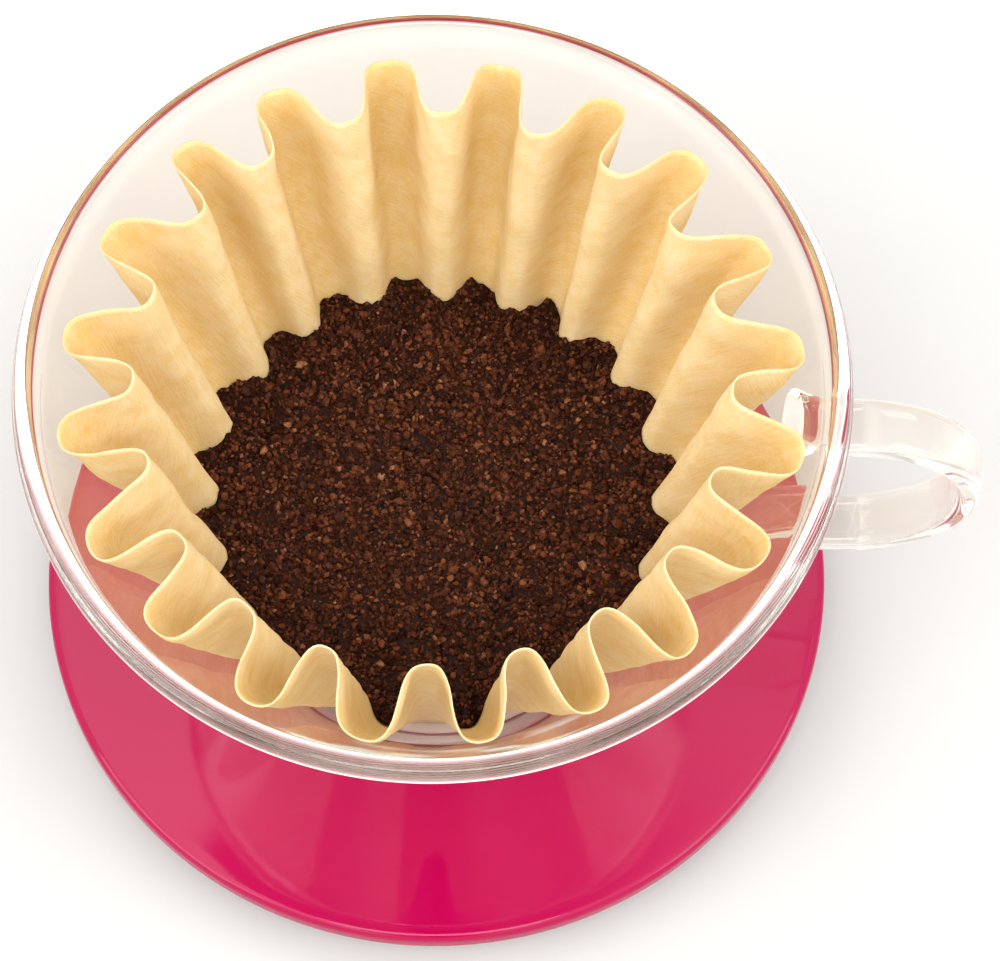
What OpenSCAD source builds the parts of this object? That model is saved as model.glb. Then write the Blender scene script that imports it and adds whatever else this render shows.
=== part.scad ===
// Pour-over coffee dripper: a flat-bottomed glass cone with a strap handle,
// standing in a moulded saucer that sits on a mug or a server.
// A twist ring under the saucer holds the glass down on a silicone seal.
// A pleated paper filter with ground coffee stands in the cone.
// Z is the cone's axis, and z = 0 is the lower edge of the saucer's locating skirt.

/* [Glass cone] */
// Outer diameter of the rim bead
rim_d = 116; // [112:1:120]
// Height from the skirt's lower edge to the top of the rim
overall_h = 80; // [78:1:86]
// Thickness of the glass wall
glass_wall = 2.6; // [2.2:0.1:2.8]
// Radius of the rounded bead along the rim
bead_r = 1.7; // [1.5:0.1:1.9]
// Inside radius of the flat floor
floor_r = 25.8; // [25.6:0.1:26]
// Diameter of each of the three drain holes
drain_d = 5.5; // [4:0.5:7]

/* [Handle] */
// Width of the glass strap
strap_w = 8.2; // [6:0.2:10]
// Thickness of the glass strap
strap_t = 3.7; // [3:0.1:4.2]
// Distance between the centre lines of the two arms
strap_span = 34; // [30:1:36]
// Distance from the cone's axis to the outside of the bend
handle_reach = 77.4; // [76:0.2:82]

/* [Saucer] */
// Outer diameter of the saucer
saucer_d = 113.6; // [108:0.2:118]
// Wall thickness of the moulding
saucer_wall = 2; // [1.8:0.1:2.2]
// Outer diameter of the skirt that drops into the server's mouth
skirt_d = 60; // [59.6:0.2:60.4]
// Number of ribs under the saucer
rib_count = 12; // [8:1:18]

/* [Twist ring] */
// Angle covered by each lug of the ring
ring_lug_angle = 50; // [40:1:56]
// Angle covered by each lug of the glass foot
foot_lug_angle = 44; // [36:1:48]

/* [Filter and coffee] */
// Number of pleats round the filter
pleats = 20; // [16:1:24]
// Radius of the filter's flat floor
filter_floor_r = 24.5; // [24:0.1:24.6]
// Radius of the pleats' outer tips along the top edge
filter_top_r = 51.9; // [48:0.1:52]
// Depth of the pleats along the top edge, from inner to outer fold
pleat_depth = 10.9; // [6:0.1:12]
// Height of the coffee at the paper, above the filter's floor
coffee_h = 25; // [22:0.5:26]
// Rise of the coffee in the middle of the bed
coffee_mound = 2.2; // [0:0.1:3]

/* [Hidden] */
$fn = 160;

// Running gap between pieces that move past each other
gap = 0.3;

// Glass cone: the wall is straight from the floor to the rim bead
rim_z = overall_h - bead_r;
floor_z = 12.6;
floor_t = 3;
under_z = floor_z - floor_t;
wall_slope = (rim_d / 2 - 2 * bead_r + 0.3 - floor_r) / (rim_z - floor_z);
wall_angle = atan(wall_slope);
wall_r = glass_wall / cos(wall_angle);
corner_r = 3;
rib_h = 0.8;
drain_circle_r = 9;

// Foot of the glass, with the lugs that the twist ring grips
foot_out_r = 22;
foot_in_r = 18.5;
foot_z = 1.4;
lug_out_r = 24.6;
lug_h = 2.2;

// Handle
arm_top_z = rim_z - 13.5;
arm_low_z = arm_top_z - strap_span;
bend_r = strap_span / 2;
bend_x = handle_reach - bend_r - strap_t / 2;
edge_r = 1.4;
arm_start_x = 24;
weld_gap = 0.02;

// Saucer
edge_z = 10;
edge_round_r = 1.5;
seat_z = 8.2;
spigot_top_z = 7.8;
skirt_r = skirt_d / 2;
skirt_in_r = skirt_r - saucer_wall;
shelf_top_z = under_z - 1;
shelf_under_z = shelf_top_z - 2;
shelf_in_r = foot_out_r + 0.5;
hub_top_z = 15.6;
hub_gap = 0.5;
rib_t = 1.4;

// Twist ring
ring_out_r = skirt_in_r - 0.4;
ring_in_r = lug_out_r + 0.4;
ring_z = 1.2;
ring_top_z = shelf_under_z - gap;
ring_lug_z = foot_z + lug_h + gap;
grip_count = 24;
grip_r = 0.9;

// Filter: a flat disc pleated into a cup, so every line up its wall has the same length
paper_t = 0.3;
fold_wall = 0.5;
filter_z = floor_z + rib_h + gap;
tip_h = rim_z - 2 - filter_z;
wall_length = norm([filter_top_r - filter_floor_r, tip_h]);
tip_angle = 97.3;
samples = pleats * 8;
level_steps = 3;
// Shares of the way up the wall: the coffee's levels, then those above it
coffee_share = coffee_h / tip_h;
coffee_levels = [for (k = [0:level_steps]) coffee_share * k / level_steps];
filter_levels = concat(coffee_levels,
    [for (k = [1:level_steps]) coffee_share + (1 - coffee_share) * k / level_steps]);
coffee_gap = 0.3;

function glass_in_r(z) = floor_r + wall_slope * (z - floor_z);
function glass_out_r(z) = glass_in_r(z) + wall_r;
function arc(c, r, from, to, steps = 8) =
    [for (i = [0:steps]) let (a = from + (to - from) * i / steps) c + r * [cos(a), sin(a)]];

// Outward reach of the wall at angle a, from the floor's edge to the top edge
function fold_reach(a) =
    filter_top_r - filter_floor_r - pleat_depth / 2 * (1 - cos(pleats * (a - tip_angle)));
// Height that a wall of that reach gets to
function fold_rise(a) = sqrt(wall_length * wall_length - fold_reach(a) * fold_reach(a));

// One ring of points on the pleated wall, at share t of the way up it, moved inwards by inset
// and no lower than low_z
function fold_ring(t, inset, low_z = 0) =
    [for (i = [0:samples - 1]) let (a = 360 * i / samples, r = filter_floor_r + t * fold_reach(a) - inset)
        [r * cos(a), r * sin(a), max(low_z, filter_z + t * fold_rise(a))]];

// Solid through a stack of equal rings, closed by a point on the axis at each end. Its quads are split
// along the same diagonal on the way up and on the way down, so walls beside each other match.
module lofted(rings, low_z, high_z) {
    n = len(rings[0]);
    count = len(rings);
    points = concat([for (ring = rings) each ring], [[0, 0, low_z], [0, 0, high_z]]);
    sides = [for (k = [0:count - 2], i = [0:n - 1])
        let (j = (i + 1) % n, a = k * n + i, b = k * n + j)
            each (rings[k + 1][0][2] > rings[k][0][2]
                ? [[a, b + n, b], [a, a + n, b + n]]
                : [[a, a + n, b], [a + n, b + n, b]])];
    low_cap = [for (i = [0:n - 1]) [count * n, i, (i + 1) % n]];
    high_start = (count - 1) * n;
    high_cap = [for (i = [0:n - 1]) [count * n + 1, high_start + (i + 1) % n, high_start + i]];
    polyhedron(points = points, faces = concat(sides, low_cap, high_cap));
}

// Flat ring with a rectangular section, or a part of one
module ring(r_in, r_out, z_low, z_high, angle = 360, start = 0) {
    rotate([0, 0, start])
        rotate_extrude(angle = angle)
            translate([r_in, z_low])
                square([r_out - r_in, z_high - z_low]);
}

// Three equal lugs, each centred on a multiple of 120 degrees
module lugs(r_in, r_out, z_low, z_high, angle) {
    for (k = [0:2])
        ring(r_in, r_out, z_low, z_high, angle, 120 * k - angle / 2);
}

module glass_body() {
    corner = [glass_in_r(floor_z + corner_r) - corner_r / cos(wall_angle), floor_z + corner_r];
    heel_r = 2;
    heel = [glass_out_r(under_z + heel_r) - heel_r / cos(wall_angle), under_z + heel_r];
    bead = [rim_d / 2 - bead_r, rim_z];
    profile = concat(
        [[0, under_z], [foot_in_r, under_z], [foot_in_r, foot_z], [foot_out_r, foot_z],
         [foot_out_r, under_z]],
        arc(heel, heel_r, -90, -wall_angle, 4),
        [[glass_out_r(rim_z - 3), rim_z - 3]],
        arc(bead, bead_r, -50, 190, 14),
        [[glass_in_r(rim_z - 2), rim_z - 2]],
        arc(corner, corner_r, -wall_angle, -90, 6),
        [[0, floor_z]]);
    color("aliceblue", 0.4) {
        difference() {
            rotate_extrude() polygon(profile);
            for (k = [0:2])
                rotate([0, 0, 120 * k + 60])
                    translate([drain_circle_r, 0, under_z - 1])
                        cylinder(d = drain_d, h = floor_t + 2, $fn = 48);
        }
        lugs(foot_out_r - 1, lug_out_r, foot_z, foot_z + lug_h, foot_lug_angle);
        for (k = [0:2])
            rotate([0, 0, 120 * k])
                translate([0, -1.2, floor_z - 0.5])
                    cube([20, 2.4, rib_h + 0.5]);
    }
}

// Section of the strap: a rectangle with rounded corners, centred on the origin
module strap_section() {
    square([strap_t, strap_w - 2 * edge_r], center = true);
    square([strap_t - 2 * edge_r, strap_w], center = true);
    for (x = [-1, 1], y = [-1, 1])
        translate([x * (strap_t / 2 - edge_r), y * (strap_w / 2 - edge_r)])
            circle(r = edge_r, $fn = 32);
}

module glass_handle() {
    bend_z = (arm_top_z + arm_low_z) / 2;
    color("aliceblue", 0.5)
        difference() {
            union() {
                for (z = [arm_low_z, arm_top_z])
                    translate([arm_start_x, 0, z])
                        rotate([0, 90, 0])
                            linear_extrude(bend_x - arm_start_x) strap_section();
                translate([bend_x, 0, bend_z])
                    rotate([90, 0, 0])
                        rotate([0, 0, -90])
                            rotate_extrude(angle = 180)
                                translate([bend_r, 0]) strap_section();
            }
            cylinder(r1 = glass_out_r(0) + weld_gap, r2 = glass_out_r(overall_h) + weld_gap, h = overall_h);
        }
}

module saucer_base() {
    saucer_r = saucer_d / 2;
    edge = [saucer_r - edge_round_r, edge_z];
    top_edge_z = edge_z + edge_round_r;
    lip_r = 0.7;
    lip_x = glass_out_r(hub_top_z) + hub_gap + lip_r;
    slope_angle = atan((hub_top_z - top_edge_z) / (edge[0] - lip_x));
    under_hub_z = hub_top_z - saucer_wall - 0.4;
    profile = concat(
        [[shelf_in_r, shelf_under_z], [skirt_in_r, shelf_under_z], [skirt_in_r, 0.5],
         [skirt_in_r + 0.5, 0], [skirt_r - 0.6, 0], [skirt_r, 0.6], [skirt_r, spigot_top_z],
         [skirt_r + 1, seat_z], [skirt_r + 1, under_hub_z],
         [edge[0] - 1, top_edge_z - saucer_wall], [saucer_r - saucer_wall, edge_z - 1],
         [saucer_r - saucer_wall, seat_z]],
        arc([saucer_r - 0.8, seat_z + 0.8], 0.8, -90, 0, 4),
        arc(edge, edge_round_r, 0, 90 - slope_angle, 8),
        arc([lip_x, hub_top_z - lip_r], lip_r, 90 - slope_angle, 180 - wall_angle, 4),
        [[glass_out_r(shelf_top_z + 1.5) + hub_gap, shelf_top_z + 1.5],
         [glass_out_r(shelf_top_z + 1.5) + hub_gap, shelf_top_z], [shelf_in_r, shelf_top_z]]);
    color("#D41E5A") {
        rotate_extrude() polygon(profile);
        for (k = [0:rib_count - 1])
            rotate([0, 0, 360 * (k + 0.5) / rib_count])
                translate([0, rib_t / 2, 0])
                    rotate([90, 0, 0])
                        linear_extrude(rib_t)
                            polygon([[skirt_r + 0.6, seat_z], [saucer_r - saucer_wall + 0.5, seat_z],
                                     [saucer_r - saucer_wall + 0.5, edge_z], [edge[0] - 1, edge_z + 0.3],
                                     [skirt_r + 0.6, under_hub_z + 0.3]]);
    }
}

module seat_gasket() {
    color("gainsboro")
        ring(shelf_in_r + 0.6, shelf_in_r + 4, shelf_top_z, under_z);
}

module lock_ring() {
    color("#C01850") {
        difference() {
            ring(ring_in_r, ring_out_r, ring_z, ring_top_z);
            for (k = [0:grip_count - 1])
                rotate([0, 0, 360 * k / grip_count])
                    translate([ring_in_r, 0, ring_z - 1])
                        cylinder(r = grip_r, h = 2.4, $fn = 24);
        }
        lugs(foot_out_r + gap, ring_in_r + 1, ring_lug_z, ring_top_z, ring_lug_angle);
    }
}

module paper_filter() {
    floor_top_z = filter_z + paper_t;
    outer = [for (t = filter_levels) fold_ring(t, 0)];
    inner = [for (k = [len(filter_levels) - 1:-1:0]) fold_ring(filter_levels[k], fold_wall, floor_top_z)];
    color("#EAD29A")
        lofted(concat(outer, inner), filter_z, floor_top_z);
}

// The bed's side lies along the paper, so it is cut from the wall's own lines
module coffee_grounds() {
    low_z = filter_z + paper_t + coffee_gap;
    side = [for (t = coffee_levels) fold_ring(t, fold_wall + coffee_gap, low_z)];
    edge = side[level_steps];
    crown_z = filter_z + coffee_h + coffee_mound;
    crown = [for (spread = [0.8, 0.55, 0.3])
        [for (p = edge) [p[0] * spread, p[1] * spread, crown_z + (p[2] - crown_z) * spread * spread]]];
    color("#2D1C16")
        lofted(concat(side, crown), low_z, crown_z);
}

glass_body();
glass_handle();
saucer_base();
seat_gasket();
lock_ring();
paper_filter();
coffee_grounds();
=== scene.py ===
"""Pour-over coffee dripper: a glass cone with a strap handle on a glossy plastic saucer,
with a pleated paper filter and ground coffee in it. Lengths are in millimetres until a mesh is made."""

import itertools
import math

import bmesh
import bpy
import numpy as np
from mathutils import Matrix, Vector, noise


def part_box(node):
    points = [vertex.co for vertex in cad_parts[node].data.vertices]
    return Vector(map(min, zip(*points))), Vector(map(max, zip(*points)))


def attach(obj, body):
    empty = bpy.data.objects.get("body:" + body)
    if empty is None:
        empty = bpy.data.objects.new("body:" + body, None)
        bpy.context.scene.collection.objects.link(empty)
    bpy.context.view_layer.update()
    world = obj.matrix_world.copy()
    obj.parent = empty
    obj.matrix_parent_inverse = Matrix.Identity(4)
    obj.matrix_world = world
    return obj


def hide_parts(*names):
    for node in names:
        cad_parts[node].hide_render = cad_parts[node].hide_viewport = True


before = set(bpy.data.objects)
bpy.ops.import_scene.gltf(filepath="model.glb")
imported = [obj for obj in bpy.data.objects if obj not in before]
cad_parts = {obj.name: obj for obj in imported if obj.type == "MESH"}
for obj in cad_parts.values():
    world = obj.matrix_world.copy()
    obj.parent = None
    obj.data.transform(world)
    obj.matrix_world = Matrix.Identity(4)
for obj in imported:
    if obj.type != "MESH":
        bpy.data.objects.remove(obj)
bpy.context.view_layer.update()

MM = 0.001
ROUND = 256  # segments round a turned piece


def box_mm(node):
    lo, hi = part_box(node)
    return lo / MM, hi / MM


# ---------------------------------------------------------------- sizes, as the CAD has them
GLASS_LO, GLASS_HI = box_mm("glass_body")
HANDLE_LO, HANDLE_HI = box_mm("glass_handle")
SAUCER_HI = box_mm("saucer_base")[1]
FILTER_LO = box_mm("paper_filter")[0]

BEAD_R = 1.7
RIM_Z = GLASS_HI.z - BEAD_R
GLASS_WALL = 2.6
FLOOR_R, FLOOR_Z, FLOOR_T = 25.8, 12.6, 3.0
UNDER_Z = FLOOR_Z - FLOOR_T
RIM_IN_R = GLASS_HI.x - 2 * BEAD_R + 0.3
WALL_SLOPE = (RIM_IN_R - FLOOR_R) / (RIM_Z - FLOOR_Z)
WALL_ANGLE = math.atan(WALL_SLOPE)
WALL_R = GLASS_WALL / math.cos(WALL_ANGLE)  # the wall's thickness measured level
FOOT_IN_R, FOOT_OUT_R, LUG_OUT_R, LUG_H = 18.5, 22.0, 24.6, 2.2
DRAIN_R, DRAIN_CIRCLE_R = 2.75, 9.0
RIB_LENGTH, RIB_W, RIB_H = 20.0, 2.4, 0.8

STRAP_W, STRAP_T = HANDLE_HI.y - HANDLE_LO.y, 3.7
ARM_TOP_Z, ARM_LOW_Z = HANDLE_HI.z - STRAP_T / 2, HANDLE_LO.z + STRAP_T / 2
BEND_R = (ARM_TOP_Z - ARM_LOW_Z) / 2
BEND_X = HANDLE_HI.x - STRAP_T / 2 - BEND_R

SAUCER_R, SAUCER_T = SAUCER_HI.x, 2.0
EDGE_Z, EDGE_ROUND, SEAT_Z = 10.0, 1.5, 8.2
HUB_Z, HUB_GAP, LIP_R = SAUCER_HI.z, 0.5, 0.7
SKIRT_R, SHELF_IN_R, SHELF_Z = 30.0, 22.5, 8.6
SAUCER_RIBS = 12

PLEATS, TIP_ANGLE = 20, 97.3
FILTER_Z = FILTER_LO.z
FILTER_FLOOR_R, FILTER_TOP_R = 24.5, 51.9
PLEAT_DEPTH = 10.9
FILTER_H = RIM_Z - 2 - FILTER_Z
FILTER_WALL = math.hypot(FILTER_TOP_R - FILTER_FLOOR_R, FILTER_H)  # its length from floor to free edge
PAPER_T = 0.25
COFFEE_DEPTH, COFFEE_MOUND = 25.0, 2.2
COFFEE_SHARE = COFFEE_DEPTH / FILTER_H


def glass_in_r(z):
    return FLOOR_R + WALL_SLOPE * (z - FLOOR_Z)


def glass_out_r(z):
    return glass_in_r(z) + WALL_R


# ---------------------------------------------------------------- camera, light and floor
CAMERA_LENS, CAMERA_TILT = 261.27, 23.03     # mm on a 36 mm sensor, and degrees from straight down
CAMERA_FROM_RIM = (9.3, -402.85, 915.36)     # mm from the middle of the rim


def make_camera():
    data = bpy.data.cameras.new("view")
    data.lens, data.sensor_width = CAMERA_LENS, 36
    data.clip_start, data.clip_end = 0.05, 30
    camera = bpy.data.objects.new("view", data)
    camera.location = (Vector(CAMERA_FROM_RIM) + Vector((0, 0, RIM_Z))) * MM
    camera.rotation_euler = (math.radians(CAMERA_TILT), 0, 0)
    bpy.context.scene.collection.objects.link(camera)
    bpy.context.scene.camera = camera


LAMP_TINT, LAMP_TARGET = (1, 0.99, 0.97), (0, 0, 0.05)


def area_light(name, place, size, radiance):
    """A soft box of size (width, height) in metres, aimed at the dripper. radiance is its brightness."""
    data = bpy.data.lights.new(name, "AREA")
    data.shape, data.size, data.size_y = "RECTANGLE", *size
    data.energy = radiance * math.pi * size[0] * size[1]
    data.color = LAMP_TINT
    lamp = bpy.data.objects.new(name, data)
    lamp.location = place
    lamp.rotation_euler = (Vector(LAMP_TARGET) - Vector(place)).to_track_quat("-Z", "Y").to_euler()
    bpy.context.scene.collection.objects.link(lamp)


class Tree:
    """Short calls for building a node tree."""

    def __init__(self, tree):
        self.tree = tree

    def add(self, kind, inputs=None, **settings):
        node = self.tree.nodes.new("ShaderNode" + kind)
        for key, value in settings.items():
            setattr(node, key, value)
        for socket, value in (inputs or {}).items():
            if isinstance(value, bpy.types.NodeSocket):
                self.tree.links.new(value, node.inputs[socket])
            else:
                node.inputs[socket].default_value = value
        return node

    def math(self, operation, a, b=0.0, clamp=False):
        return self.add("Math", {0: a, 1: b}, operation=operation, use_clamp=clamp).outputs[0]

    def fade(self, value, low, high, out_low=0.0, out_high=1.0):
        """value from low..high to out_low..out_high, smoothly and clamped."""
        return self.add("MapRange", {0: value, 1: low, 2: high, 3: out_low, 4: out_high},
                        interpolation_type="SMOOTHSTEP").outputs[0]

    def mix(self, share, a, b):
        """The colour a where share is 0, and b where it is 1."""
        return self.add("Mix", {0: share, 6: a, 7: b}, data_type="RGBA").outputs[2]

    def link(self, source, target):
        self.tree.links.new(source, target)


# Brightness of the studio's parts. The panels are two bands of light high up, one to each side.
OVERHEAD, LEFT_PANEL, RIGHT_PANEL, SIDES, HORIZON = 0.33, 3.0, 1.75, 1.4, 0.7
GAP_DARKER = 0.95      # how much darker the narrow gap overhead is, which the saucer mirrors as a stripe
GLASS_BOUNCES = 16


def make_world():
    """A soft studio: even light round the horizon, two panels above it, and a dark gap between them."""
    world = bpy.data.worlds.new("studio")
    world.use_nodes = True
    bpy.context.scene.world = world
    t = Tree(world.node_tree)
    background = world.node_tree.nodes["Background"]
    way = t.add("TexCoord").outputs["Generated"]
    x, y, z = t.add("SeparateXYZ", {0: way}).outputs
    across = t.math("DIVIDE", x, t.math("MAXIMUM", z, 0.05))
    left = t.fade(across, -0.262, -0.235, LEFT_PANEL, OVERHEAD)
    left = t.math("SUBTRACT", left, t.fade(across, -0.60, -0.42, LEFT_PANEL - SIDES, 0.0))
    right = t.fade(across, 0.12, 0.36, 0.0, RIGHT_PANEL)
    right = t.math("SUBTRACT", right, t.fade(across, 0.45, 0.60, 0.0, RIGHT_PANEL + OVERHEAD - SIDES))
    panels = t.math("ADD", left, right)
    gap = t.math("MULTIPLY", t.fade(across, -0.043, -0.034), t.fade(across, 0.046, 0.055, 1.0, 0.0))
    panels = t.math("MULTIPLY", panels, t.math("SUBTRACT", 1.0, t.math("MULTIPLY", gap, GAP_DARKER)))
    high_up = t.fade(z, 0.3, 0.62)
    horizon = t.fade(z, 0.03, 0.2, HORIZON, 1.0)
    both = t.add("Mix", {0: high_up, 2: horizon, 3: panels}, data_type="FLOAT").outputs[0]
    t.link(both, background.inputs["Strength"])
    background.inputs["Color"].default_value = (1, 0.995, 0.985, 1)


def make_lights():
    area_light("left_softbox", (-1.4, -0.7, 1.3), (1.2, 1.2), 3.2)
    area_light("right_softbox", (1.5, -0.5, 1.3), (1.2, 1.2), 3.2)
    area_light("front_softbox", (0, -0.8, 1.75), (0.9, 0.6), 6.6)
    cycles = bpy.context.scene.cycles
    cycles.max_bounces = cycles.glossy_bounces = cycles.transmission_bounces = GLASS_BOUNCES


def principled(name, **values):
    """A new material, its tree and its Principled shader, with values set on the shader's sockets."""
    material = bpy.data.materials.new(name)
    material.use_nodes = True
    shader = material.node_tree.nodes["Principled BSDF"]
    for key, value in values.items():
        shader.inputs[key.replace("_", " ")].default_value = value
    return material, Tree(material.node_tree), shader


def make_floor():
    material, t, shader = principled("studio_floor", Roughness=0.85)
    place = t.add("TexCoord").outputs["Object"]
    grain = t.add("TexNoise", {"Vector": place, "Scale": 40.0, "Detail": 4.0}).outputs["Fac"]
    t.link(t.mix(grain, (0.59, 0.59, 0.588, 1), (0.61, 0.61, 0.608, 1)), shader.inputs["Base Color"])
    half = 6000.0
    corners = [(-half, -half, 0), (half, -half, 0), (half, half, 0), (-half, half, 0)]
    floor = mesh_object("floor", corners, [(0, 1, 2, 3)], [material])


# ---------------------------------------------------------------- mesh helpers
def mesh_object(name, points, faces, materials, smooth=True):
    """A mesh from points in mm."""
    mesh = bpy.data.meshes.new(name)
    mesh.from_pydata([tuple(c * MM for c in p) for p in points], [], faces)
    for material in materials:
        mesh.materials.append(material)
    made = bmesh.new()
    made.from_mesh(mesh)
    bmesh.ops.recalc_face_normals(made, faces=made.faces)
    made.to_mesh(mesh)
    made.free()
    shade(mesh, smooth)
    obj = bpy.data.objects.new(name, mesh)
    bpy.context.scene.collection.objects.link(obj)
    return obj


def store(piece, name, values):
    """Keeps one number for each point, which a material reads by its name."""
    layer = piece.data.attributes.new(name, "FLOAT", "POINT")
    layer.data.foreach_set("value", np.asarray(values, np.float32))


def shade(mesh, smooth=True, sharp=None):
    """Smooth or flat shading. sharp is the angle in degrees from which an edge stays sharp."""
    mesh.polygons.foreach_set("use_smooth", [smooth] * len(mesh.polygons))
    if sharp is not None:
        mesh.set_sharp_from_angle(angle=math.radians(sharp))


def bezier(a, b, c, steps):
    """Points on the curve from a to c that b pulls towards itself."""
    a, b, c = (np.array(p, float) for p in (a, b, c))
    return [tuple((1 - u) ** 2 * a + 2 * u * (1 - u) * b + u * u * c)
            for u in np.linspace(0, 1, steps + 1)]


def filleted(corners, steps=6):
    """The outline through (radius, height, rounding) corners, each rounded by its own radius."""
    out, n = [], len(corners)
    for i, (r, z, radius) in enumerate(corners):
        p = np.array((r, z), float)
        if radius <= 0:
            out.append((r, z))
            continue
        a, b = (np.array(corners[(i + d) % n][:2], float) - p for d in (-1, 1))
        a, b = a / np.linalg.norm(a), b / np.linalg.norm(b)
        cut = radius / math.tan(math.acos(np.clip(a @ b, -1, 1)) / 2)
        out += bezier(p + a * cut, p, p + b * cut, steps)
    return out


def refined(outline, step):
    """The outline with its long straight stretches split, so that shading stays flat along them."""
    out = []
    for p, q in zip(outline, outline[1:] + outline[:1]):
        out.append(p)
        if p[0] < 1e-6 and q[0] < 1e-6:
            continue
        parts = int(math.hypot(q[0] - p[0], q[1] - p[1]) / step)
        out += [(p[0] + (q[0] - p[0]) * k / (parts + 1), p[1] + (q[1] - p[1]) * k / (parts + 1))
                for k in range(1, parts + 1)]
    return out


def lathe(outline, segments=ROUND):
    """Points and faces of a closed outline of (radius, height) turned about Z."""
    points, rings = [], []
    for r, z in outline:
        count = 1 if r < 1e-6 else segments
        rings.append([len(points) + i for i in range(count)])
        points += [(r * math.cos(2 * math.pi * i / segments), r * math.sin(2 * math.pi * i / segments), z)
                   for i in range(count)]
    faces = []
    for a, b in zip(rings, rings[1:] + rings[:1]):
        if len(a) == 1 and len(b) == 1:
            continue
        for i in range(segments):
            j = (i + 1) % segments
            corners = (a[i % len(a)], a[j % len(a)], b[j % len(b)], b[i % len(b)])
            faces.append(tuple(dict.fromkeys(corners)))
    return points, faces


def grid_faces(rows, columns):
    """Faces between rows of points, each row a closed ring."""
    return [(k * columns + i, k * columns + (i + 1) % columns,
             (k + 1) * columns + (i + 1) % columns, (k + 1) * columns + i)
            for k in range(rows - 1) for i in range(columns)]


def prism(outline, low, high, turn):
    """Points and faces of an (x, z) outline between y = low and high, turned about Z by degrees."""
    c, s = math.cos(math.radians(turn)), math.sin(math.radians(turn))
    points = [(x * c - y * s, x * s + y * c, z) for y in (low, high) for x, z in outline]
    n = len(outline)
    sides = [(i, (i + 1) % n, n + (i + 1) % n, n + i) for i in range(n)]
    return points, sides + [tuple(range(n)), tuple(range(n, 2 * n))]


def joined(parts):
    """One list of points and faces from several."""
    points, faces = [], []
    for part_points, part_faces in parts:
        faces += [tuple(i + len(points) for i in f) for f in part_faces]
        points += list(part_points)
    return points, faces


def boolean(base, points, faces, operation):
    """base with a closed mesh added to it or cut from it."""
    tool = mesh_object("tool", points, faces, [])
    change = base.modifiers.new("change", "BOOLEAN")
    change.operation, change.object, change.solver = operation, tool, "MANIFOLD"
    bpy.context.view_layer.update()
    result = bpy.data.meshes.new_from_object(base.evaluated_get(bpy.context.evaluated_depsgraph_get()))
    base.modifiers.clear()
    spent = base.data
    base.data = result
    result.name = base.name
    bpy.data.meshes.remove(spent)
    bpy.data.objects.remove(tool)


# ---------------------------------------------------------------- glass
# Each material's own tint, and the one it gives to lamps' light that passes straight through.
GLASS_TINT, GLASS_LIT_TINT = (0.995, 0.945, 0.885, 1), (0.90, 0.885, 0.87, 1)
SILICONE_LIT_TINT = (0.88, 0.84, 0.84, 1)
GUIDED_BOUNCES = 7     # how many of a ray's last turns count as light guided along inside the glass
GUIDED_GLOW = 2.05     # how bright that light is
GLOW_LOW, GLOW_HIGH = (0.60, 0.40, 0.41, 1), (0.70, 1.0, 0.93, 1)     # its colour by the foot, and higher


def glass_material():
    """Clear glass. A ray that has turned many times picks up a glow, which stands for guided light."""
    material, t, shader = principled("clear_glass", Transmission_Weight=1.0, IOR=1.474, Roughness=0.0,
                                     Base_Color=GLASS_TINT)
    place = t.add("TexCoord").outputs["Object"]
    ripple = t.add("TexNoise", {"Vector": place, "Scale": 55.0, "Detail": 1.0}).outputs["Fac"]
    bump = t.add("Bump", {"Height": ripple, "Strength": 0.25, "Distance": 0.0002})
    t.link(bump.outputs[0], shader.inputs["Normal"])
    smear = t.add("TexNoise", {"Vector": place, "Scale": 18.0, "Detail": 5.0}).outputs["Fac"]
    t.link(t.fade(smear, 0.5, 0.8, 0.0, 0.02), shader.inputs["Roughness"])
    height = t.add("SeparateXYZ", {0: place}).outputs["Z"]
    glow = t.mix(t.fade(height, 0.016, 0.034), GLOW_LOW, GLOW_HIGH)
    turns_so_far = t.add("LightPath").outputs["Ray Depth"]
    trapped = t.math("GREATER_THAN", turns_so_far, GLASS_BOUNCES - GUIDED_BOUNCES - 0.5)
    strength = t.math("MULTIPLY", trapped, GUIDED_GLOW / GUIDED_BOUNCES)
    guided = t.add("Emission", {"Color": glow, "Strength": strength})
    both = t.add("AddShader", {0: shader.outputs[0], 1: guided.outputs[0]})
    let_light_through(material, t, both, GLASS_LIT_TINT)
    return material


def let_light_through(material, t, shader, colour):
    """Lamps and soft light go straight through the surface, tinted by colour at each face."""
    path = t.add("LightPath").outputs
    straight = t.math("MAXIMUM", path["Is Shadow Ray"], path["Is Diffuse Ray"])
    clear = t.add("BsdfTransparent", {"Color": colour})
    both = t.add("MixShader", {0: straight, 1: shader.outputs[0], 2: clear.outputs[0]})
    t.link(both.outputs[0], material.node_tree.nodes["Material Output"].inputs["Surface"])


SWELL_START, SWELL_LENGTH = 3.6, 3.0     # mm below the bead's middle where the wall starts to swell
BEAD_STEPS = 17


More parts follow.
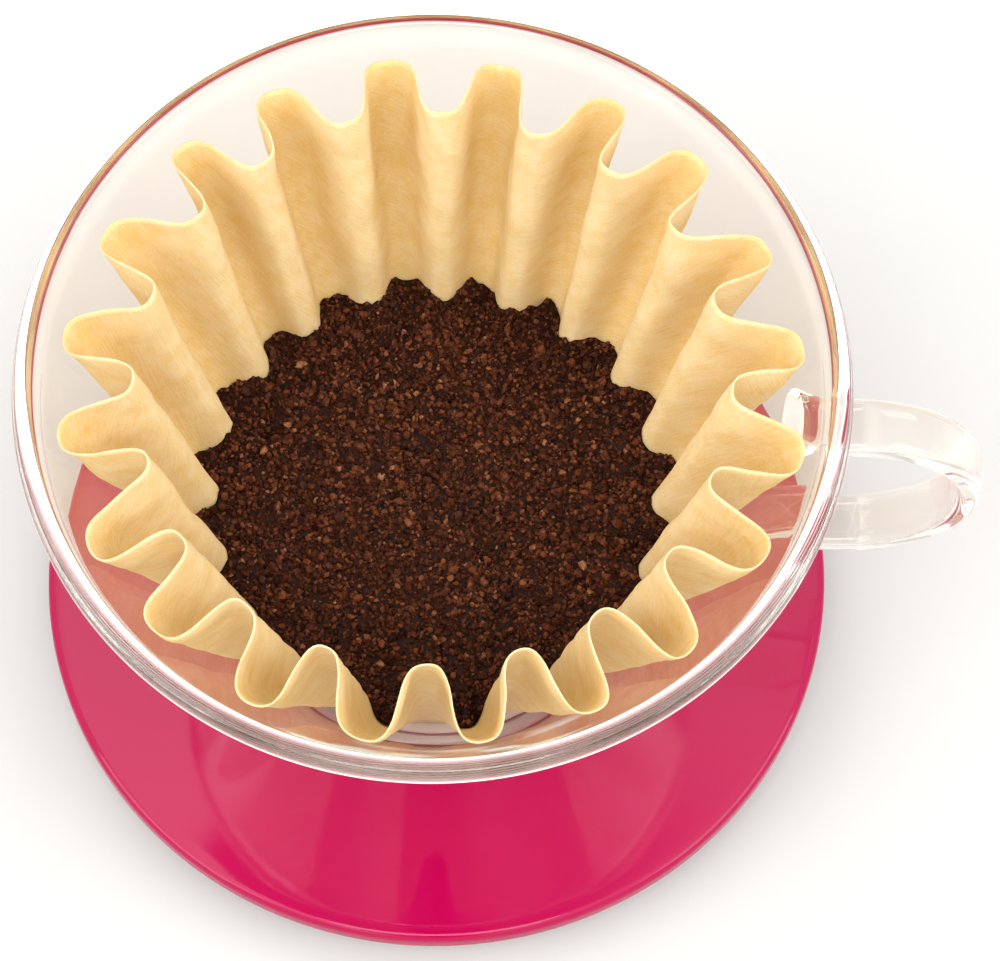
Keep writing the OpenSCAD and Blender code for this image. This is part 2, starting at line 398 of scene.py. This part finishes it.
def rim_side(side, low_z):
    """The wall's face from low_z up round the bead, for side +1 outside and -1 inside."""
    along = np.array((math.sin(WALL_ANGLE), math.cos(WALL_ANGLE)))
    across = np.array((along[1], -along[0])) * side
    centre = np.array((GLASS_HI.x - BEAD_R, RIM_Z))
    start = (low_z - RIM_Z) / along[1]
    out = []
    for s in np.concatenate([np.linspace(start, -SWELL_START, 40)[:-1],
                             np.linspace(-SWELL_START, 0, 12)[:-1],
                             BEAD_R * np.sin(np.linspace(0, math.pi / 2, BEAD_STEPS))]):
        swell = np.clip((s + SWELL_START) / SWELL_LENGTH, 0, 1)
        half = GLASS_WALL / 2 + (BEAD_R - GLASS_WALL / 2) * swell * swell * (3 - 2 * swell)
        if s > 0:
            half = math.sqrt(max(BEAD_R ** 2 - s * s, 0))
        out.append(tuple(centre + along * s + across * half))
    return out


def glass_outline():
    """Half the glass's section, from the underside round the foot, the outside, the rim and the inside."""
    outside = rim_side(1, UNDER_Z + 4)
    inside = rim_side(-1, FLOOR_Z + 4)[::-1]
    heel = (glass_out_r(UNDER_Z), UNDER_Z)
    corner = (glass_in_r(FLOOR_Z), FLOOR_Z)
    low = filleted([(FOOT_IN_R, UNDER_Z, 0.8), (FOOT_IN_R, GLASS_LO.z, 0.7),
                    (FOOT_OUT_R, GLASS_LO.z, 0.7), (FOOT_OUT_R, UNDER_Z, 0.9),
                    (*heel, 2.0), (*outside[0], 0)])
    floor = filleted([(*inside[-1], 0), (*corner, 3.0), (0, FLOOR_Z, 0), (0, UNDER_Z, 0)], 10)
    return refined([(0, UNDER_Z)] + low[:-1] + outside + inside[1:-1] + floor[:-1], 1.8)


STRAP_POINTS = 48                       # round the strap's section
ROOT_SPREAD = 2.2                       # mm from the wall that the strap's flared roots reach
ROOT_THICKER, ROOT_WIDER = 1.5, 1.6     # mm that they add on each side
ROOT_FOLLOWS = 7.0                      # mm from the wall over which the sections lean with the cone
STRAP_CLEAR = 99.0                      # stands for the bend's distance, where no root reaches


def strap_ring(oval):
    """Section of the strap as (across its thickness, along its width) shares of the half sizes.

    oval is 0 for the strap's rounded rectangle and 1 for an ellipse.
    """
    out = []
    for k in range(STRAP_POINTS):
        a = 2 * math.pi * k / STRAP_POINTS
        c, s = math.cos(a), math.sin(a)
        out.append((math.copysign(abs(c) ** (0.62 + 0.38 * oval), c),
                    math.copysign(abs(s) ** (0.5 + 0.5 * oval), s)))
    return out


def handle():
    """The strap, swept out along the upper arm, round the bend and back, with flared ends in the wall."""
    mid_z = (ARM_TOP_Z + ARM_LOW_Z) / 2
    arms = []
    for z, a in ((ARM_TOP_Z, math.pi / 2), (ARM_LOW_Z, -math.pi / 2)):
        root = glass_out_r(z) - GLASS_WALL / 2
        reach = np.concatenate([np.linspace(root, root + 6, 22)[:-1], np.arange(root + 6, BEND_X, 1.2)])
        arms.append([(x, z, a, x - root) for x in reach])
    bend = [(BEND_X + BEND_R * math.cos(a), mid_z + BEND_R * math.sin(a), a, STRAP_CLEAR)
            for a in np.linspace(math.pi / 2, -math.pi / 2, 56)]
    stations = arms[0] + bend + arms[1][::-1]
    points = []
    for x, z, a, from_root in stations:
        flare = math.exp(-(max(from_root - 1.0, 0) / ROOT_SPREAD) ** 2)
        half_t, half_w = STRAP_T / 2 + ROOT_THICKER * flare, STRAP_W / 2 + ROOT_WIDER * flare
        follow = float(np.clip(1 - from_root / ROOT_FOLLOWS, 0, 1)) ** 2
        for u, v in strap_ring(flare):
            y = v * half_w
            px, pz = x + u * half_t * math.cos(a), z + u * half_t * math.sin(a)
            if follow > 0:  # near the wall the sections lie along the cone instead of upright
                on_wall = math.sqrt(max(glass_out_r(pz) ** 2 - y * y, 0))
                px += follow * (on_wall - glass_out_r(z))
            points.append((px, y, pz))
    faces = grid_faces(len(stations), STRAP_POINTS)
    faces += [tuple(range(STRAP_POINTS)), tuple(range(len(points) - STRAP_POINTS, len(points)))]
    return points, faces


LUG_ANGLE, LUG_STEPS = 44, 16


def foot_lug(turn):
    """One of the three lugs that the twist ring grips."""
    outline = filleted([(FOOT_OUT_R - 1, GLASS_LO.z + 0.05, 0), (LUG_OUT_R, GLASS_LO.z + 0.05, 0.6),
                        (LUG_OUT_R, GLASS_LO.z + LUG_H, 0.6), (FOOT_OUT_R - 1, GLASS_LO.z + LUG_H, 0)], 4)
    points = []
    for a in np.radians(turn + np.linspace(-LUG_ANGLE / 2, LUG_ANGLE / 2, LUG_STEPS)):
        points += [(r * math.cos(a), r * math.sin(a), z) for r, z in outline]
    n = len(outline)
    faces = grid_faces(LUG_STEPS, n)
    return points, faces + [tuple(range(n)), tuple(range(len(points) - n, len(points)))]


def floor_rib(turn):
    """One of the three raised bars on the glass floor."""
    low, top = FLOOR_Z - 1, FLOOR_Z + RIB_H
    bar = filleted([(0, low, 0), (RIB_LENGTH, low, 0), (RIB_LENGTH, top, 0.7), (0, top, 0)], 5)
    return prism(bar, -RIB_W / 2, RIB_W / 2, turn)


def drain(turn):
    """What is cut away for one of the three drain holes, with eased edges above and below."""
    below, above = UNDER_Z - 1, FLOOR_Z + 1
    outline = [(0, below), (DRAIN_R + 0.9, below), (DRAIN_R + 0.5, UNDER_Z), (DRAIN_R, UNDER_Z + 0.6),
               (DRAIN_R, FLOOR_Z - 0.6), (DRAIN_R + 0.5, FLOOR_Z), (DRAIN_R + 0.9, above), (0, above)]
    points, faces = lathe(outline, 48)
    dx, dy = (DRAIN_CIRCLE_R * f(math.radians(turn)) for f in (math.cos, math.sin))
    return [(x + dx, y + dy, z) for x, y, z in points], faces


def glass_dripper():
    """The cone with its handle, lugs and ribs as one fused piece."""
    glass = mesh_object("glass_dripper", *lathe(glass_outline()), [glass_material()])
    boolean(glass, *handle(), "UNION")
    for k in range(3):
        boolean(glass, *foot_lug(120 * k), "UNION")
        boolean(glass, *floor_rib(120 * k), "UNION")
    for k in range(3):
        boolean(glass, *drain(120 * k + 60), "DIFFERENCE")
    shade(glass.data, True, 32)
    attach(glass, "dripper")
    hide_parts("glass_body", "glass_handle")


# ---------------------------------------------------------------- saucer, twist ring and seal
def plastic_material():
    """Glossy moulded plastic with faint flow marks."""
    material, t, shader = principled("pink_plastic", Specular_IOR_Level=0.28, IOR=1.5)
    place = t.add("TexCoord").outputs["Object"]
    flow = t.add("TexNoise", {"Vector": place, "Scale": 22.0, "Detail": 3.0}).outputs["Fac"]
    t.link(t.mix(flow, (0.355, 0.0009, 0.054, 1), (0.385, 0.0014, 0.061, 1)), shader.inputs["Base Color"])
    fine = t.add("TexNoise", {"Vector": place, "Scale": 900.0, "Detail": 2.0}).outputs["Fac"]
    t.link(t.fade(flow, 0.3, 0.7, 0.045, 0.075), shader.inputs["Roughness"])
    bump = t.add("Bump", {"Height": fine, "Strength": 0.06, "Distance": 0.00004})
    t.link(bump.outputs[0], shader.inputs["Normal"])
    return material


SAUCER_SEGMENTS, SAUCER_RIB_W = 320, 1.4


def saucer(material):
    """The saucer's section turned about Z, with twelve ribs under it."""
    top_edge_z = EDGE_Z + EDGE_ROUND
    lip_x = glass_out_r(HUB_Z) + HUB_GAP
    under_hub_z = HUB_Z - SAUCER_T - 0.4
    slope = (HUB_Z - top_edge_z) / (SAUCER_R - EDGE_ROUND - lip_x - LIP_R)
    edge_top = top_edge_z - slope * EDGE_ROUND
    skirt_in_r, seat_r = SKIRT_R - SAUCER_T, glass_out_r(SHELF_Z + 1.5) + HUB_GAP
    outline = filleted([
        (SHELF_IN_R, SHELF_Z - 2, 0.3), (skirt_in_r, SHELF_Z - 2, 0.3), (skirt_in_r, 0, 0.5),
        (SKIRT_R, 0, 0.6), (SKIRT_R, SEAT_Z - 0.4, 0.2), (SKIRT_R + 1, SEAT_Z, 0.2),
        (SKIRT_R + 1, under_hub_z, 0.8), (SAUCER_R - EDGE_ROUND - 1, top_edge_z - SAUCER_T, 1.5),
        (SAUCER_R - SAUCER_T, EDGE_Z - 1.2, 0.4), (SAUCER_R - SAUCER_T, SEAT_Z, 0.3),
        (SAUCER_R, SEAT_Z, 0.7), (SAUCER_R, edge_top, 1.3),
        (lip_x + 0.2, HUB_Z + slope * 0.5, 0.7), (seat_r, SHELF_Z + 1.5, 0.3),
        (seat_r, SHELF_Z, 0.2), (SHELF_IN_R, SHELF_Z, 0.3)], 7)
    piece = mesh_object("saucer", *lathe(refined(outline, 1.5), SAUCER_SEGMENTS), [material])
    inner, outer = SKIRT_R + 0.6, SAUCER_R - SAUCER_T + 0.5
    web = [(inner, SEAT_Z), (outer, SEAT_Z), (outer, EDGE_Z), (outer - 1.5, EDGE_Z + 0.3),
           (inner, under_hub_z + 0.3)]
    ribs = [prism(web, -SAUCER_RIB_W / 2, SAUCER_RIB_W / 2, 360 * (k + 0.5) / SAUCER_RIBS)
            for k in range(SAUCER_RIBS)]
    boolean(piece, *joined(ribs), "UNION")
    shade(piece.data, True, 35)
    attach(piece, "dripper")
    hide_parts("saucer_base")


def silicone_material():
    """Milky see-through silicone."""
    material, t, shader = principled("clear_silicone", Roughness=0.34, Transmission_Weight=0.8, IOR=1.41)
    place = t.add("TexCoord").outputs["Object"]
    cloud = t.add("TexNoise", {"Vector": place, "Scale": 120.0, "Detail": 3.0}).outputs["Fac"]
    t.link(t.mix(cloud, (0.84, 0.80, 0.78, 1), (0.92, 0.88, 0.86, 1)), shader.inputs["Base Color"])
    bump = t.add("Bump", {"Height": cloud, "Strength": 0.2, "Distance": 0.00005})
    t.link(bump.outputs[0], shader.inputs["Normal"])
    let_light_through(material, t, shader, SILICONE_LIT_TINT)
    return material


def finish_node(node, material):
    """Gives a CAD node that is kept a better material."""
    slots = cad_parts[node].data.materials
    if not slots:
        slots.append(material)
    for k in range(len(slots)):
        slots[k] = material


# ---------------------------------------------------------------- paper filter
def around(values, a):
    """values spread evenly over a turn, read smoothly at azimuths a in degrees."""
    x = np.asarray(a, float) / 360 * len(values) % len(values)
    i = np.floor(x).astype(int) % len(values)
    f = x - np.floor(x)
    f = f * f * (3 - 2 * f)
    return values[i] * (1 - f) + values[(i + 1) % len(values)] * f


SEEDED = np.random.default_rng(20)
noise.seed_set(20)    # without this, noise_vector is different in every run
PLEAT_TURN = SEEDED.uniform(-1.0, 1.0, 2 * PLEATS)   # degrees each fold is off its even place
PLEAT_SCALE = SEEDED.uniform(-0.06, 0.05, 2 * PLEATS)
EDGE_WAVE = SEEDED.uniform(-0.35, 0.35, 3 * PLEATS)
PLEAT_FULLNESS = 0.28     # how much rounder the folds are than a plain wave
FOLD_LEAN = 14.0          # how far the paper between folds leans out over them, in degrees over PLEATS
FLOOR_LIFT = 0.12         # mm of air under the paper's floor


def wall_points(a, t, inset=0.0):
    """Points (mm) of the pleated wall at azimuths a (degrees) and share t of the way up it."""
    phase = np.radians(PLEATS * (a - TIP_ANGLE + around(PLEAT_TURN, a) * np.minimum(1.0, t * 1.5)))
    c = np.cos(phase)
    wave = c * (1 + PLEAT_FULLNESS * (1 - c * c))
    depth = PLEAT_DEPTH * (1 + around(PLEAT_SCALE, a))
    reach = FILTER_TOP_R - FILTER_FLOOR_R - depth / 2 * (1 - wave)
    rise = np.sqrt(FILTER_WALL ** 2 - reach ** 2)
    turned = np.radians(a + t * FOLD_LEAN * np.sin(2 * phase) / PLEATS)
    r = FILTER_FLOOR_R + t * reach - inset
    z = FILTER_Z + FLOOR_LIFT + t * (rise - 0.15) + around(EDGE_WAVE, a) * t ** 4 * 0.5
    return np.stack([r * np.cos(turned), r * np.sin(turned), z], 1)


PAPER_LIGHT, PAPER_DARK = (0.92, 0.775, 0.49, 1), (0.86, 0.62, 0.24, 1)
CUT_EDGE_LIGHT, CUT_EDGE_DARK = (0.86, 0.73, 0.46, 1), (0.80, 0.65, 0.37, 1)
FOLD_SHADE = 0.35     # how much darker the outward folds are painted: painted shade for the channels seen from inside
PAPER_THROUGH = 0.22     # the share of light that the paper passes on


def paper_material(name, light, dark):
    """Unbleached crepe paper: clouds, felt and fine lines that lie along the flat disc, with painted shade
    in its outward folds.
    """
    material, t, shader = principled(name, Roughness=0.92, Specular_IOR_Level=0.25)
    disc = t.add("TexCoord").outputs["UV"]
    flat = t.add("Mapping", {"Vector": disc, "Rotation": (0, 0, math.radians(20)),
                             "Scale": (1000, 1000, 1000)}).outputs[0]
    clouds = t.add("TexNoise", {"Vector": flat, "Scale": 0.28, "Detail": 5.0,
                                "Roughness": 0.62}).outputs["Fac"]
    lines = t.add("Mapping", {"Vector": flat, "Scale": (0.22, 3.4, 1)}).outputs[0]
    crepe = t.add("TexNoise", {"Vector": lines, "Scale": 1.0, "Detail": 2.0,
                               "Distortion": 0.3}).outputs["Fac"]
    felt = t.add("TexNoise", {"Vector": flat, "Scale": 3.0, "Detail": 4.0,
                              "Roughness": 0.7}).outputs["Fac"]
    tone = t.math("ADD", t.math("MULTIPLY", t.fade(clouds, 0.3, 0.7), 0.55),
                  t.math("MULTIPLY", t.fade(felt, 0.38, 0.64), 0.38))
    tone = t.math("ADD", tone, t.math("MULTIPLY", t.fade(crepe, 0.3, 0.7), 0.38))
    # Painted shade: the paper is darkened in its outward folds, the channels that lie in shade when seen
    # from inside.
    fold = t.add("Attribute", attribute_name="fold").outputs["Fac"]
    tone = t.math("SUBTRACT", tone, t.math("MULTIPLY", t.fade(fold, 0.35, 0.95), FOLD_SHADE))
    colour = t.mix(t.math("ADD", tone, 0.0, True), dark, light)
    t.link(colour, shader.inputs["Base Color"])
    height = t.math("ADD", crepe, t.math("MULTIPLY", felt, 0.5))
    bump = t.add("Bump", {"Height": height, "Strength": 0.5, "Distance": 0.00012})
    t.link(bump.outputs[0], shader.inputs["Normal"])
    through = t.add("BsdfTranslucent", {"Color": colour, "Normal": bump.outputs[0]})
    output = material.node_tree.nodes["Material Output"]
    both = t.add("MixShader", {0: PAPER_THROUGH, 1: shader.outputs[0], 2: through.outputs[0]})
    t.link(both.outputs[0], output.inputs["Surface"])
    return material


TURN_UP = 0.03     # share of the wall over which the paper turns up from its floor


def filter_paper():
    """One disc of paper, pleated up from a flat floor. Its UV map is the flat disc, in metres."""
    columns = PLEATS * 36
    a = np.arange(columns) * 360 / columns
    ray = np.stack([np.cos(np.radians(a)), np.sin(np.radians(a))], 1)
    rows, flat = [], []
    for r in (3, 8, 13, 18, 22, 23.4):
        rows.append(np.concatenate([r * ray, np.full((columns, 1), FILTER_Z + FLOOR_LIFT)], 1))
        flat.append(r * ray)
    for t in np.concatenate([[0.012, 0.022, 0.035], np.linspace(0.06, 1, 60)]):
        p = wall_points(a, t)
        if t < TURN_UP:
            p[:, 2] += FLOOR_LIFT * (TURN_UP - t) / TURN_UP
        rows.append(p)
        flat.append((FILTER_FLOOR_R + t * FILTER_WALL) * ray)
    points, coords = crumpled(np.concatenate(rows)), np.concatenate(flat)
    faces = grid_faces(len(rows), columns) + [tuple(range(columns))[::-1]]
    side = paper_material("filter_paper", PAPER_LIGHT, PAPER_DARK)
    rim = paper_material("filter_paper_edge", CUT_EDGE_LIGHT, CUT_EDGE_DARK)
    piece = mesh_object("filter_paper", points, faces, [side, rim])
    layer = piece.data.uv_layers.new(name="flat")
    index = np.zeros(len(piece.data.loops), np.int32)
    piece.data.loops.foreach_get("vertex_index", index)
    layer.data.foreach_set("uv", (coords[index] * MM).astype(np.float32).ravel())
    angle = np.degrees(np.arctan2(coords[:, 1], coords[:, 0]))
    off_tip = angle - TIP_ANGLE + around(PLEAT_TURN, angle % 360)
    outward = 0.5 + 0.5 * np.cos(np.radians(PLEATS * off_tip))
    on_wall = np.hypot(coords[:, 0], coords[:, 1]) > FILTER_FLOOR_R
    # The fold share marks where the paper material paints shade: 1 in the outward folds of the wall, 0 in
    # the inward folds and on the floor.
    store(piece, "fold", outward * on_wall)
    shell = piece.modifiers.new("paper", "SOLIDIFY")
    shell.thickness, shell.offset, shell.material_offset_rim = PAPER_T * MM, 0, 1
    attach(piece, "loaded_filter")
    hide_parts("paper_filter")


CRUMPLE_FULL = 60.0     # mm above the filter's floor where the buckles reach their full size
BUCKLES = ((9.0, 0.55), (3.6, 0.16))     # their spacing and size in mm, from large to small


def crumpled(points):
    """The points shifted by a few tenths of a mm, as paper buckles, more towards the free edge."""
    out = points.copy()
    for i, p in enumerate(points):
        share = min(1.0, max(0.0, (p[2] - FILTER_Z) / CRUMPLE_FULL))
        if share <= 0:
            continue
        shift = sum((noise.noise_vector(Vector(p) / gap) * size for gap, size in BUCKLES), Vector())
        out[i] += np.array(shift) * share * np.array((1, 1, 0.4))
    return out


# ---------------------------------------------------------------- coffee
COFFEE_TONES = ((0.0, (0.008, 0.002, 0.001)), (0.45, (0.056, 0.014, 0.005)),
                (0.75, (0.140, 0.040, 0.015)), (0.93, (0.200, 0.069, 0.029)), (1.0, (0.28, 0.13, 0.063)))


def coffee_material(name, shine):
    """Ground coffee. Each point's stored tone picks a colour from COFFEE_TONES."""
    material, t, shader = principled(name, Roughness=0.55, Specular_IOR_Level=shine)
    tone = t.add("Attribute", attribute_name="tone").outputs["Fac"]
    place = t.add("TexCoord").outputs["Object"]
    grit = t.add("TexNoise", {"Vector": place, "Scale": 2600.0, "Detail": 3.0}).outputs["Fac"]
    tone = t.math("ADD", tone, t.fade(grit, 0.3, 0.7, -0.12, 0.12), clamp=True)
    ramp = t.add("ValToRGB", {"Fac": tone})
    for position, _ in COFFEE_TONES[1:-1]:
        ramp.color_ramp.elements.new(position)
    for element, (_, colour) in zip(ramp.color_ramp.elements, COFFEE_TONES):
        element.color = (*colour, 1)
    t.link(ramp.outputs["Color"], shader.inputs["Base Color"])
    t.link(t.fade(grit, 0.3, 0.7, 0.4, 0.7), shader.inputs["Roughness"])
    bump = t.add("Bump", {"Height": grit, "Strength": 0.5, "Distance": 0.00008})
    t.link(bump.outputs[0], shader.inputs["Normal"])
    return material


def bed_height(x, y, share):
    """Height of the coffee's surface: mounded, lumpy, and level with the paper at its edge."""
    lumps = (noise.noise(Vector((x / 9, y / 9, 1.7))) * 0.9
             + noise.noise(Vector((x / 3, y / 3, 5.1))) * 0.4)
    return COFFEE_MOUND * (1 - share * share) + lumps * (0.35 + 0.65 * (1 - share))


RAGGED = ((16, 2.3, 0.020), (40, 7.7, 0.016))     # each wave: how fine, which noise, share of the wall
COFFEE_INSET = 0.3     # mm from the paper's middle to the coffee


def coffee_edge(a):
    """Where the coffee's surface meets the paper, as points (mm) at azimuths a."""
    ragged = [sum(noise.noise(Vector((math.cos(k) * fine, math.sin(k) * fine, which))) * size
                  for fine, which, size in RAGGED) for k in np.radians(a)]
    return crumpled(wall_points(a, COFFEE_SHARE + np.array(ragged), COFFEE_INSET))


def bed_points(a, share):
    """Points of the coffee's surface at azimuths a and shares of the way out from the axis."""
    edge = coffee_edge(a)
    pull = np.asarray(share)[:, None]
    p = np.concatenate([edge[:, :2] * pull, np.zeros((len(edge), 1))], 1)
    level = FILTER_Z + COFFEE_DEPTH
    for i in range(len(p)):
        s = float(share[i])
        p[i, 2] = level + (edge[i, 2] - level) * s ** 3 + bed_height(p[i, 0], p[i, 1], s)
    return p


def coffee_bed():
    """The bed as one closed piece: up the inside of the paper, then in over the lumpy surface."""
    columns = PLEATS * 16
    a = np.arange(columns) * 360 / columns
    rows = []
    low = FILTER_Z + 0.6
    for t in np.linspace(0, COFFEE_SHARE * 0.97, 9):
        p = crumpled(wall_points(a, t, COFFEE_INSET + 0.15))
        p[:, 2] = np.maximum(p[:, 2], low)
        rows.append(p)
    for share in np.concatenate([[1.0, 0.985], np.linspace(0.96, 0.04, 60)]):
        rows.append(bed_points(a, np.full(columns, share)))
    points = list(np.concatenate(rows)) + [np.array((0, 0, low)), np.array((0, 0, rows[-1][:, 2].mean()))]
    n, last = len(rows) * columns, (len(rows) - 1) * columns
    faces = grid_faces(len(rows), columns)
    faces += [(n, (i + 1) % columns, i) for i in range(columns)]
    faces += [(n + 1, last + i, last + (i + 1) % columns) for i in range(columns)]
    piece = mesh_object("coffee_bed", points, faces, [coffee_material("coffee_dust", 0.1)])
    store(piece, "tone", [0.12] * len(points))
    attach(piece, "loaded_filter")
    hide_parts("coffee_grounds")


def icosahedron():
    """Its corners at distance 1, and its faces, all turned outward."""
    g = (1 + math.sqrt(5)) / 2
    points = np.array([(-1, g, 0), (1, g, 0), (-1, -g, 0), (1, -g, 0), (0, -1, g), (0, 1, g),
                       (0, -1, -g), (0, 1, -g), (g, 0, -1), (g, 0, 1), (-g, 0, -1), (-g, 0, 1)], float)
    def next_to(p, q):
        return abs(np.linalg.norm(points[p] - points[q]) - 2) < 0.01

    faces = []
    for i, j, k in itertools.combinations(range(12), 3):
        if next_to(i, j) and next_to(j, k) and next_to(i, k):
            normal = np.cross(points[j] - points[i], points[k] - points[i])
            faces.append((i, j, k) if np.dot(normal, points[i]) > 0 else (k, j, i))
    return points / np.linalg.norm(points[0]), faces


def turns(random, count):
    """Random rotation matrices."""
    q = random.normal(size=(count, 4))
    w, x, y, z = (q / np.linalg.norm(q, axis=1)[:, None]).T
    return np.stack([1 - 2 * (y * y + z * z), 2 * (x * y - z * w), 2 * (x * z + y * w),
                     2 * (x * y + z * w), 1 - 2 * (x * x + z * z), 2 * (y * z - x * w),
                     2 * (x * z - y * w), 2 * (y * z + x * w), 1 - 2 * (x * x + y * y)],
                    1).reshape(-1, 3, 3)


def coffee_grains(name, count, usual_r, seed):
    """Chips of ground coffee lying on the bed, each an irregular solid of its own. usual_r is in mm."""
    random = np.random.default_rng(seed)
    a = random.uniform(0, 360, count)
    share = np.sqrt(random.uniform(0, 1, count)) * 0.995
    centre = bed_points(a, share)
    size = np.clip(random.lognormal(math.log(usual_r), 0.3, count), 0.2, 0.8)
    from_paper = (1 - share) * np.hypot(centre[:, 0], centre[:, 1])
    size = np.minimum(size, 0.24 + 0.4 * from_paper)
    centre[:, 2] += size * random.uniform(-0.15, 0.7, count)
    ball, faces = icosahedron()
    chips = ball[None] * random.uniform(0.65, 1.3, (count, 12, 1))
    flatness = [np.ones(count), random.uniform(0.6, 1.0, count), random.uniform(0.4, 0.85, count)]
    chips *= np.stack(flatness, 1)[:, None]
    chips = np.einsum("nij,nkj->nki", turns(random, count), chips) * size[:, None, None] + centre[:, None]
    all_faces = (np.array(faces)[None] + 12 * np.arange(count)[:, None, None]).reshape(-1, 3).tolist()
    material = coffee_material(name, 0.12)
    piece = mesh_object(name, chips.reshape(-1, 3), all_faces, [material], smooth=False)
    tone = np.clip(random.normal(0.42, 0.22, count), 0.02, 0.98)
    store(piece, "tone", np.repeat(tone, 12))
    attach(piece, "loaded_filter")


# ---------------------------------------------------------------- the scene
make_camera()
make_world()
make_lights()
make_floor()
plastic = plastic_material()
glass_dripper()
saucer(plastic)
finish_node("lock_ring", plastic)
finish_node("seat_gasket", silicone_material())
filter_paper()
coffee_bed()
coffee_grains("coffee_grains_coarse", 8600, 0.43, 5)
coffee_grains("coffee_grains_fine", 9600, 0.30, 6)

bpy.context.scene.view_settings.view_transform = "Standard"
